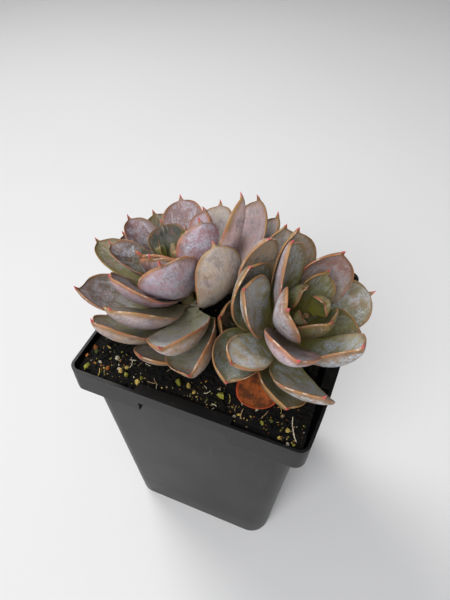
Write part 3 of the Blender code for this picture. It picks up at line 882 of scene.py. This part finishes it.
def leaf_section(t, row, thickness, seed, along, up):
    """One ring of points.

    Each is (offset from the midrib, sideways share, up or down share, half width, reach from the
    margin).
    """
    _, _, _, _, length, width, twist, cup, _, _ = row
    to_point = (1 - t) * length
    beak = TIP_HALF * min(1.0, to_point / TIP_LENGTH) ** 1.7 + 0.25 * min(1.0, to_point / 1.2)
    spine_share = SPINE_LENGTH / length
    if row is DRY_LEAF:
        beak, spine_share = 0.0, 0.0
    half = max(width / 2 * leaf_width(t, spine_share), beak * min(1.0, width / 12) + 0.03)
    depth = min(max(thickness * leaf_depth(t), 0.25), half * 1.6)
    roll = math.radians(twist) * min(1.0, 2 * t)
    across = up.cross(along)
    side = across * math.cos(roll) + up * math.sin(roll)
    face = up * math.cos(roll) - across * math.sin(roll)
    hollow = cup * math.sin(min(1.0, 1.6 * t + 0.15) * math.pi / 2)
    blade = min(1.0, half / 2.0)
    ring = []
    for i in range(LEAF_SIDES):
        angle = math.tau * i / LEAF_SIDES
        c, s = math.cos(angle), math.sin(angle)
        wander = 1 + MARGIN_WANDER * blade * noise.noise(Vector((t * 7, seed, math.copysign(4, c)))) * abs(c)
        lift = hollow * half * abs(c) ** 1.7
        bulge = UPPER_BULGE if s > 0 else (1 - UPPER_BULGE) * (1 - 0.15 * abs(c))
        lift += bulge * depth * s
        ridge = max(0.0, 1 - abs(abs(c) - 0.95) / 0.07) * (1 if s > -0.1 else 0)
        lift += MARGIN_RIDGE * blade * ridge
        dents = noise.noise(Vector((c * half * 0.28, t * length * 0.2, seed + (9 if s < 0 else 0))))
        lift += FACE_DENTS * blade * dents * abs(s) ** 0.5
        lift -= 0.10 * blade * math.exp(-(c / 0.09) ** 2) * (1 if s > 0 else -0.6) * math.sin(math.pi * t)
        reach = math.hypot((1 - abs(c)) * half, 0.55 * depth * abs(s)) * max(1.0, 12 / width)
        ring.append((side * (half * c * wander) + face * lift, c, s, half, reach))
    return ring


# %% Leaf mesh
def leaf_start(head, row):
    """Where the foot of a leaf is: beside the stem, at its own height and turn."""
    foot, top = stem_line(head)
    spoke = Vector((math.cos(math.radians(row[0])), math.sin(math.radians(row[0])), 0))
    return foot.lerp(top, row[1] / (top - foot).length) + head_turn(head) @ spoke * LEAF_OFFSET


def leaf_mesh(start, turn, row, thickness, seed):
    """The whole blade, with what the paint needs stored on its points."""
    turn_deg, _, rise, tip_rise, length, _, _, _, sweep, _ = row
    place = Vector((0, 0, 0))
    loops, notes = [], []
    before = None
    for step in range(LEAF_RINGS + 1):
        t = step / LEAF_RINGS
        lift = SPINE_LIFT * max(0.0, (t - LIFT_FROM) / (1 - LIFT_FROM))
        pitch = math.radians(rise + (tip_rise - rise) * t + lift)
        heading = math.radians(turn_deg + sweep * t)
        ahead = Vector((math.cos(heading), math.sin(heading), 0))
        along = ahead * math.cos(pitch) + Vector((0, 0, math.sin(pitch)))
        up = -ahead * math.sin(pitch) + Vector((0, 0, math.cos(pitch)))
        if before is not None:
            place = place + (along + before) * (length / LEAF_RINGS / 2)
        before = along
        ring = leaf_section(t, row, thickness, seed, along, up)
        loops.append([start + turn @ (place + offset) for offset, *_ in ring])
        to_point = (1 - t) * length * max(1.0, 22 / length)
        notes += [(t, reach, s, to_point, c * half, t * length) for _, c, s, half, reach in ring]
    mesh = mesh_of_loops("leaf", loops)
    for index, name in enumerate(("along", "edge", "face", "to_point")):
        mesh.attributes.new(name, "FLOAT", "POINT").data.foreach_set("value", [note[index] for note in notes])
    skin = [c for note in notes for c in (note[4], note[5], seed * 13.0)]
    mesh.attributes.new("skin", "FLOAT_VECTOR", "POINT").data.foreach_set("vector", skin)
    mesh.shade_smooth()
    return mesh


# %% [markdown]
# ## Leaf colours
#
# The same plant carries leaves of many colours: young ones green, sunned ones mauve, old ones
# beige, each with a warmer margin. A colouring says what the upper face, the underside and the
# margin are, how thick the pale waxy bloom lies, and how green the upper face is near its foot.
# They are stored on the leaf, so one paint can serve every leaf.

# %% Colourings
# Upper face, underside, margin, bloom, green at the foot.
COLOURINGS = {
    "smoke": ((104, 96, 92), (156, 126, 120), (176, 120, 84), 0.45, 0.6),
    "dusk": ((70, 58, 54), (134, 112, 112), (194, 124, 84), 0.34, 0.7),
    "wine": ((98, 80, 84), (150, 124, 130), (204, 130, 104), 0.4, 0.4),
    "tan": ((196, 178, 150), (170, 152, 136), (184, 128, 92), 0.35, 0.5),
    "moss": ((108, 106, 80), (136, 118, 104), (168, 148, 60), 0.25, 0.7),
    "plum": ((118, 98, 100), (162, 134, 140), (200, 128, 92), 0.45, 0.35),
    "lilac": ((150, 128, 134), (172, 148, 158), (198, 130, 84), 0.75, 0.2),
    "mauve": ((170, 146, 146), (192, 164, 164), (186, 152, 74), 0.35, 0.25),
    "violet": ((92, 68, 78), (150, 124, 132), (204, 128, 108), 0.9, 0.2),
    "rose": ((154, 126, 128), (184, 154, 158), (204, 116, 96), 0.6, 0.3),
    "stone": ((150, 142, 136), (166, 152, 138), (196, 154, 74), 0.3, 0.35),
    "dune": ((140, 134, 126), (172, 148, 144), (190, 152, 74), 0.45, 0.5),
    "chalk": ((172, 174, 162), (162, 142, 120), (196, 116, 84), 0.7, 0.5),
    "clay": ((140, 138, 114), (156, 134, 112), (188, 110, 78), 0.4, 0.55),
    "rust": ((44, 34, 26), (66, 50, 42), (200, 104, 84), 0.3, 0.4),
    "deep": ((28, 32, 16), (90, 82, 56), (176, 118, 72), 0.05, 0.3),
    "shade": ((104, 108, 88), (126, 120, 100), (192, 144, 92), 0.35, 0.7),
    "frost": ((170, 164, 140), (146, 130, 114), (196, 134, 90), 1.0, 0.9),
    "khaki": ((126, 112, 92), (150, 136, 112), (184, 140, 76), 0.25, 0.7),
    "olive": ((96, 94, 64), (122, 112, 84), (180, 138, 66), 0.15, 0.9),
    "heath": ((116, 112, 88), (162, 146, 154), (196, 150, 100), 0.5, 0.95),
    "ember": ((130, 106, 100), (150, 126, 118), (204, 98, 70), 0.3, 0.6),
    "leek": ((74, 78, 44), (104, 104, 62), (176, 132, 78), 0.1, 1.0),
    "scarred": ((122, 96, 74), (150, 134, 132), (196, 124, 82), 0.8, 0.5),
    "sprout": ((96, 104, 52), (120, 112, 66), (206, 96, 92), 0.05, 1.0),
}


def store_colouring(mesh, name, seed):
    """Keeps a colouring on the points of a leaf, with a slight drift of its own."""
    upper, under, margin, bloom, foot_green = COLOURINGS[name]
    drift = random.Random(seed).uniform(1.14, 1.32)
    count = len(mesh.vertices)
    for label, colour, gain in (("upper", upper, drift), ("under", under, drift), ("margin", margin, 1.0)):
        shade = [channel * gain for channel in rgb(*colour)[:3]] + [1.0]
        mesh.attributes.new(label, "FLOAT_COLOR", "POINT").data.foreach_set("color", shade * count)
    for label, value in (("bloom", bloom), ("foot_green", foot_green)):
        mesh.attributes.new(label, "FLOAT", "POINT").data.foreach_set("value", [value] * count)


print("colourings:", len(COLOURINGS))

# %% [markdown]
# ## The skin of a leaf
#
# From the inside out: flesh colour with blotches and fine lengthwise streaks, green at the foot
# and warmer at the tip; then the bloom, a pale wax that fingers and rain rub off in patches; then
# brown scars and tiny flecks; last a golden band beside the margin, the margin itself, orange to
# pink and more golden towards the tip, a painted highlight, almost white, in patches along its very
# edge, and the magenta spine. The wax is a lilac grey on one head and a blue grey on the other. Wax
# is dull and the margin shines, so roughness follows the same masks.

# %% Skin
def leaf_skin(name, wax_colour):
    paint = Paint(name, Subsurface_Weight=0.08, Subsurface_Scale=0.0015, Specular_IOR_Level=0.4)
    along, edge = paint.attribute("along"), paint.attribute("edge")
    face, to_point = paint.attribute("face"), paint.attribute("to_point")
    skin = paint.attribute("skin", "Vector")
    margin_colour = paint.mix(paint.attribute("margin", "Color"), rgb(124, 90, 60), 0.42)

    blotch = paint.noise(skin, 0.16, 4)
    patch = paint.noise(skin, 0.33, 5, 0.62)
    speck = paint.noise(skin, 2.6, 4, 0.6)
    streak = paint.noise(paint.stretch(skin, (1.5, 0.16, 1.0)), 1.0, 4)
    topside = paint.step(face, -0.15, 0.15)

    flesh = paint.mix(paint.attribute("under", "Color"), paint.attribute("upper", "Color"), topside)
    warm = paint.mix(flesh, rgb(150, 96, 78), 0.45)
    flesh = paint.mix(flesh, warm, paint.step(blotch, 0.5, 0.66) * 0.7)
    flesh = paint.mix(flesh, rgb(74, 58, 52), paint.step(patch, 0.5, 0.64) * 0.5)
    flesh = paint.mix(flesh, rgb(222, 212, 206), paint.step(streak, 0.55, 0.72) * 0.28)
    flesh = paint.mix(flesh, rgb(52, 44, 36), paint.step(streak, 0.45, 0.3) * 0.32)
    green = paint.step(along, 0.78, 0.25) * paint.attribute("foot_green") * (0.35 + 0.65 * topside)
    flesh = paint.mix(flesh, rgb(126, 122, 50), green * (0.55 + 0.7 * patch))
    flesh = paint.mix(flesh, margin_colour, paint.step(along, 0.7, 0.97) * 0.22)

    wax = paint.attribute("bloom") * paint.step(patch, 0.42, 0.55) * (0.3 + paint.step(speck, 0.38, 0.62))
    wax = wax * paint.step(edge, 0.5, 2.4) * paint.step(along, 0.18, 0.42)
    flesh = paint.mix(flesh, wax_colour, wax * 0.8)
    rime = paint.step(paint.noise(skin, 0.9, 6, 0.75), 0.56, 0.66) * paint.step(along, 0.3, 0.7)
    rime = rime * paint.step(blotch, 0.62, 0.44) * paint.step(paint.attribute("bloom"), 0.0, 0.4)
    flesh = paint.mix(flesh, rgb(222, 214, 212), rime * 0.55)

    crack = abs(paint.noise(paint.stretch(skin, (0.55, 0.3, 1.0)), 1.0, 5) - 0.5)
    scar = paint.step(crack, 0.03, 0.004) * paint.step(paint.noise(skin, 0.12, 2), 0.52, 0.66)
    scar = scar * paint.step(along, 0.4, 0.7)
    flesh = paint.mix(flesh, rgb(134, 88, 58), scar * 0.6)
    fleck = paint.step(paint.cells(skin, 0.75), 0.16, 0.07)
    flesh = paint.mix(flesh, rgb(88, 58, 46), fleck * 0.5)

    reach = edge + (patch - 0.5) * 1.6 + (speck - 0.5) * 0.5
    gold = paint.mix(margin_colour, rgb(116, 92, 52), 0.5 + 0.5 * paint.step(blotch, 0.4, 0.55))
    halo = paint.step(reach, 1.9, 0.3) * paint.step(along, 0.45, 0.85)
    flesh = paint.mix(flesh, gold, halo * 0.7)
    line = paint.step(reach, 0.6, 0.15) * paint.step(along, 0.22, 0.5)
    blush = paint.mix(margin_colour, rgb(178, 88, 84), paint.step(streak, 0.42, 0.58) * 0.6)
    blush = paint.mix(blush, rgb(158, 122, 62), paint.step(along, 0.55, 0.9) * 0.5)
    flesh = paint.mix(flesh, blush, line * 0.8)
    # Painted highlight: near-white patches along the very edge of the margin.
    painted_edge_highlight = paint.step(edge, 0.3, 0.08) * paint.step(patch, 0.52, 0.64) * paint.step(along, 0.3, 0.6)
    flesh = paint.mix(flesh, rgb(226, 206, 184), painted_edge_highlight * 0.6)
    spine = paint.step(to_point, 1.7, 0.5)
    flesh = paint.mix(flesh, paint.mix(margin_colour, rgb(196, 44, 84), 0.75), spine * 0.9)

    paint.set("Base Color", flesh)
    paint.set("Roughness", 0.44 + 0.2 * wax + 0.1 * speck - 0.1 * line)
    paint.bump(0.35 * speck + 0.9 * patch + 0.5 * streak - 0.4 * scar, 0.0003, 0.55)
    return paint


SKIN = {"a": leaf_skin("mauve_skin", rgb(196, 197, 210)),
        "b": leaf_skin("olive_skin", rgb(198, 206, 215))}
print("skins:", [paint.material.name for paint in SKIN.values()])

# %% Grow the leaves
SLOT = {"a": "mauve_leaf", "b": "olive_leaf"}
for head, rows in LEAVES.items():
    for number, row in enumerate(rows, start=1):
        seed = number + (40 if head == "b" else 0)
        blade = leaf_mesh(leaf_start(head, row), head_turn(head), row, LEAF_THICKNESS, seed)
        store_colouring(blade, row[-1], seed)
        label = f"{head}_{number:02d}"
        add_piece("blade_" + label, blade, SKIN[head], SLOT[head], "leaf_" + label)
print("leaves grown:", sum(len(rows) for rows in LEAVES.values()))

# %% [markdown]
# ## The dry leaf
#
# One old leaf has dropped on the peat and dried to an orange-brown shell. It is the same blade
# with hardly any thickness left, wrinkled lengthwise, and its margin has turned red-orange.

# %% Dry leaf
dry = Paint("dry_leaf", Specular_IOR_Level=0.5)
skin = dry.attribute("skin", "Vector")
wrinkle = dry.noise(dry.stretch(skin, (1.4, 0.3, 1.0)), 1.0, 4)
stain = dry.noise(skin, 0.3, 4)
colour = dry.mix(rgb(96, 54, 32), rgb(168, 88, 42), dry.step(stain, 0.4, 0.62))
colour = dry.mix(colour, rgb(70, 40, 24), dry.step(wrinkle, 0.55, 0.75) * 0.7)
colour = dry.mix(colour, rgb(196, 150, 104), dry.step(stain, 0.62, 0.75) * 0.35)
colour = dry.mix(colour, rgb(190, 74, 38), dry.step(dry.attribute("edge"), 0.9, 0.35) * 0.85)
dry.set("Base Color", colour)
dry.set("Roughness", 0.36 + 0.3 * wrinkle)
dry.bump(wrinkle + 0.6 * stain, 0.0006, 0.8)
dry_start = Vector((*DRY_LEAF_FOOT, SOIL_TOP + CLEARANCE + DRY_LEAF_THICKNESS))
dry_blade = leaf_mesh(dry_start, Matrix.Identity(3), DRY_LEAF, DRY_LEAF_THICKNESS, 99)
add_piece("dry_leaf_piece", dry_blade, dry, "dry_leaf", "dead_leaf")
print("dry leaf", DRY_LEAF[4], "mm long")

# %% [markdown]
# ## Measure and finish
#
# The finer pieces should fill much the same box as the CAD model. The finer pieces must stay in
# the box of the CAD model, give or take a few per cent. Both boxes are printed, so that they can
# be compared.

# %% Finish
visual_box = [list(corner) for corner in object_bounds()]
for label, (low, high) in (("CAD", cad_box), ("visual", visual_box)):
    print(label, "mm:", [round((b - a) / MM, 1) for a, b in zip(low, high)])
